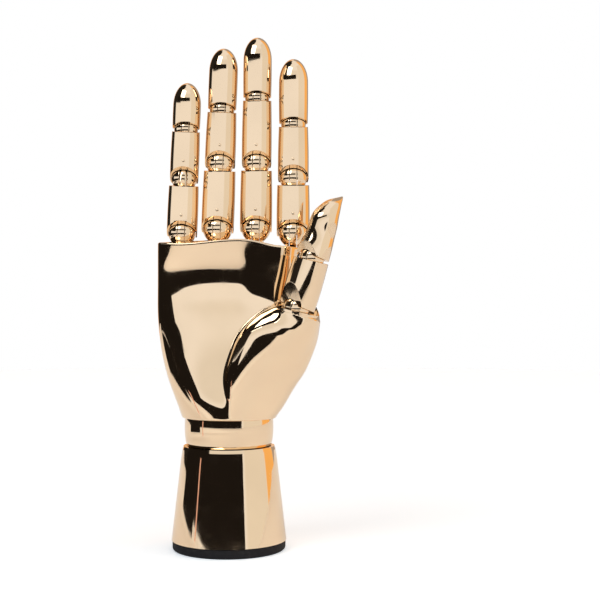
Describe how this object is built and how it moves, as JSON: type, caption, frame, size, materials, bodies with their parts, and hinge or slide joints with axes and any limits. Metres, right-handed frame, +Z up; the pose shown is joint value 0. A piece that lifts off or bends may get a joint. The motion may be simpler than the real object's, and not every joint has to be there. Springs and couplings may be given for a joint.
{
  "type": "hand jewelry stand",
  "caption": "Articulated mirror-gold right hand on a tapered forearm, with jointed fingers, thumb and wrist, for showing rings and bracelets.",
  "frame": {"origin": "middle of the pad's underside, on the forearm's axis", "axes": "+Z up along the forearm to the fingertips; the palm faces -Y and the thumb is at +X"},
  "size_m": [0.0899, 0.056, 0.25],
  "materials": {
    "plated_gold": "polished",
    "plated_link": "polished",
    "steel": "satin",
    "rubber": "matte"
  },
  "bodies": {
    "forearm": {"forearm": "plated_gold", "base_pad": "rubber"},
    "neck": {"wrist_neck": "plated_gold", "wrist_pin": "steel", "wrist_bolt": "steel", "wrist_nut": "steel", "wrist_spring": "steel"},
    "palm": {"palm": "plated_gold", "wrist_link": "steel"},
    "little_knuckle": {"little_knuckle_ball": "plated_gold"},
    "little_proximal": {"little_proximal": "plated_gold", "little_knuckle_link": "plated_link", "little_proximal_brad": "plated_link", "little_middle_ball": "plated_gold"},
    "little_intermediate": {"little_intermediate": "plated_gold", "little_middle_link": "plated_link", "little_intermediate_brad": "plated_link", "little_tip_ball": "plated_gold"},
    "little_distal": {"little_distal": "plated_gold", "little_tip_link": "plated_link"},
    "ring_knuckle": {"ring_knuckle_ball": "plated_gold"},
    "ring_proximal": {"ring_proximal": "plated_gold", "ring_knuckle_link": "plated_link", "ring_proximal_brad": "plated_link", "ring_middle_ball": "plated_gold"},
    "ring_intermediate": {"ring_intermediate": "plated_gold", "ring_middle_link": "plated_link", "ring_intermediate_brad": "plated_link", "ring_tip_ball": "plated_gold"},
    "ring_distal": {"ring_distal": "plated_gold", "ring_tip_link": "plated_link"},
    "middle_knuckle": {"middle_knuckle_ball": "plated_gold"},
    "middle_proximal": {"middle_proximal": "plated_gold", "middle_knuckle_link": "plated_link", "middle_proximal_brad": "plated_link", "middle_middle_ball": "plated_gold"},
    "middle_intermediate": {"middle_intermediate": "plated_gold", "middle_middle_link": "plated_link", "middle_intermediate_brad": "plated_link", "middle_tip_ball": "plated_gold"},
    "middle_distal": {"middle_distal": "plated_gold", "middle_tip_link": "plated_link"},
    "index_knuckle": {"index_knuckle_ball": "plated_gold"},
    "index_proximal": {"index_proximal": "plated_gold", "index_knuckle_link": "plated_link", "index_proximal_brad": "plated_link", "index_middle_ball": "plated_gold"},
    "index_intermediate": {"index_intermediate": "plated_gold", "index_middle_link": "plated_link", "index_intermediate_brad": "plated_link", "index_tip_ball": "plated_gold"},
    "index_distal": {"index_distal": "plated_gold", "index_tip_link": "plated_link"},
    "thumb_knuckle": {"thumb_base_ball": "plated_gold"},
    "thumb_proximal": {"thumb_proximal": "plated_gold", "thumb_base_link": "plated_link", "thumb_tip_ball": "plated_gold"},
    "thumb_distal": {"thumb_distal": "plated_gold", "thumb_tip_link": "plated_link"}
  },
  "joints": [
    {"name": "wrist_swivel", "type": "hinge", "parent": "forearm", "child": "neck", "pos_m": [-0.0004, 0, 0.0595], "axis": [0, 0, 1], "continuous": true},
    {"name": "wrist_rock", "type": "hinge", "parent": "neck", "child": "palm", "pos_m": [-0.0004, 0, 0.0595], "axis": [1, 0, 0], "range_deg": [-22, 22]},
    {"name": "little_spread", "type": "hinge", "parent": "palm", "child": "little_knuckle", "pos_m": [-0.0235, 0, 0.1542], "axis": [0, 1, 0], "range_deg": [-12, 1.2]},
    {"name": "little_knuckle_bend", "type": "hinge", "parent": "little_knuckle", "child": "little_proximal", "pos_m": [-0.0235, 0, 0.1542], "axis": [0.9992, 0, -0.0401], "range_deg": [-8, 65]},
    {"name": "little_middle_bend", "type": "hinge", "parent": "little_proximal", "child": "little_intermediate", "pos_m": [-0.02242, 0, 0.18098], "axis": [0.9992, 0, -0.0401], "range_deg": [0, 65]},
    {"name": "little_tip_bend", "type": "hinge", "parent": "little_intermediate", "child": "little_distal", "pos_m": [-0.02146, 0, 0.20496], "axis": [0.9992, 0, -0.0401], "range_deg": [0, 40]},
    {"name": "ring_spread", "type": "hinge", "parent": "palm", "child": "ring_knuckle", "pos_m": [-0.0061, 0, 0.1562], "axis": [0, 1, 0], "range_deg": [-1.2, 1]},
    {"name": "ring_knuckle_bend", "type": "hinge", "parent": "ring_knuckle", "child": "ring_proximal", "pos_m": [-0.0061, 0, 0.1562], "axis": [0.9993, 0, -0.0384], "range_deg": [-8, 65]},
    {"name": "ring_middle_bend", "type": "hinge", "parent": "ring_proximal", "child": "ring_intermediate", "pos_m": [-0.00487, 0, 0.18828], "axis": [0.9993, 0, -0.0384], "range_deg": [0, 65]},
    {"name": "ring_tip_bend", "type": "hinge", "parent": "ring_intermediate", "child": "ring_distal", "pos_m": [-0.00386, 0, 0.21446], "axis": [0.9993, 0, -0.0384], "range_deg": [0, 40]},
    {"name": "middle_spread", "type": "hinge", "parent": "palm", "child": "middle_knuckle", "pos_m": [0.0127, 0, 0.1565], "axis": [0, 1, 0], "range_deg": [-1, 1]},
    {"name": "middle_knuckle_bend", "type": "hinge", "parent": "middle_knuckle", "child": "middle_proximal", "pos_m": [0.0127, 0, 0.1565], "axis": [0.9999, 0, -0.0105], "range_deg": [-8, 65]},
    {"name": "middle_middle_bend", "type": "hinge", "parent": "middle_proximal", "child": "middle_intermediate", "pos_m": [0.01303, 0, 0.1885], "axis": [0.9999, 0, -0.0105], "range_deg": [0, 65]},
    {"name": "middle_tip_bend", "type": "hinge", "parent": "middle_intermediate", "child": "middle_distal", "pos_m": [0.01337, 0, 0.2202], "axis": [0.9999, 0, -0.0105], "range_deg": [0, 40]},
    {"name": "index_spread", "type": "hinge", "parent": "palm", "child": "index_knuckle", "pos_m": [0.0309, 0, 0.1545], "axis": [0, 1, 0], "range_deg": [-1, 10]},
    {"name": "index_knuckle_bend", "type": "hinge", "parent": "index_knuckle", "child": "index_proximal", "pos_m": [0.0309, 0, 0.1545], "axis": [1, 0, -0.0035], "range_deg": [-8, 65]},
    {"name": "index_middle_bend", "type": "hinge", "parent": "index_proximal", "child": "index_intermediate", "pos_m": [0.03099, 0, 0.1814], "axis": [1, 0, -0.0035], "range_deg": [0, 65]},
    {"name": "index_tip_bend", "type": "hinge", "parent": "index_intermediate", "child": "index_distal", "pos_m": [0.03109, 0, 0.2074], "axis": [1, 0, -0.0035], "range_deg": [0, 40]},
    {"name": "thumb_spread", "type": "hinge", "parent": "palm", "child": "thumb_knuckle", "pos_m": [0.0327, -0.0168, 0.1175], "axis": [0.6625, 0.7222, -0.1988], "range_deg": [-4, 6]},
    {"name": "thumb_base_bend", "type": "hinge", "parent": "thumb_knuckle", "child": "thumb_proximal", "pos_m": [0.0327, -0.0168, 0.1175], "axis": [-0.6917, 0.6917, 0.2075], "range_deg": [-24, 2]},
    {"name": "thumb_tip_bend", "type": "hinge", "parent": "thumb_proximal", "child": "thumb_distal", "pos_m": [0.03988, -0.0168, 0.14145], "axis": [-0.6917, 0.6917, 0.2075], "range_deg": [-30, 0]}
  ]
}
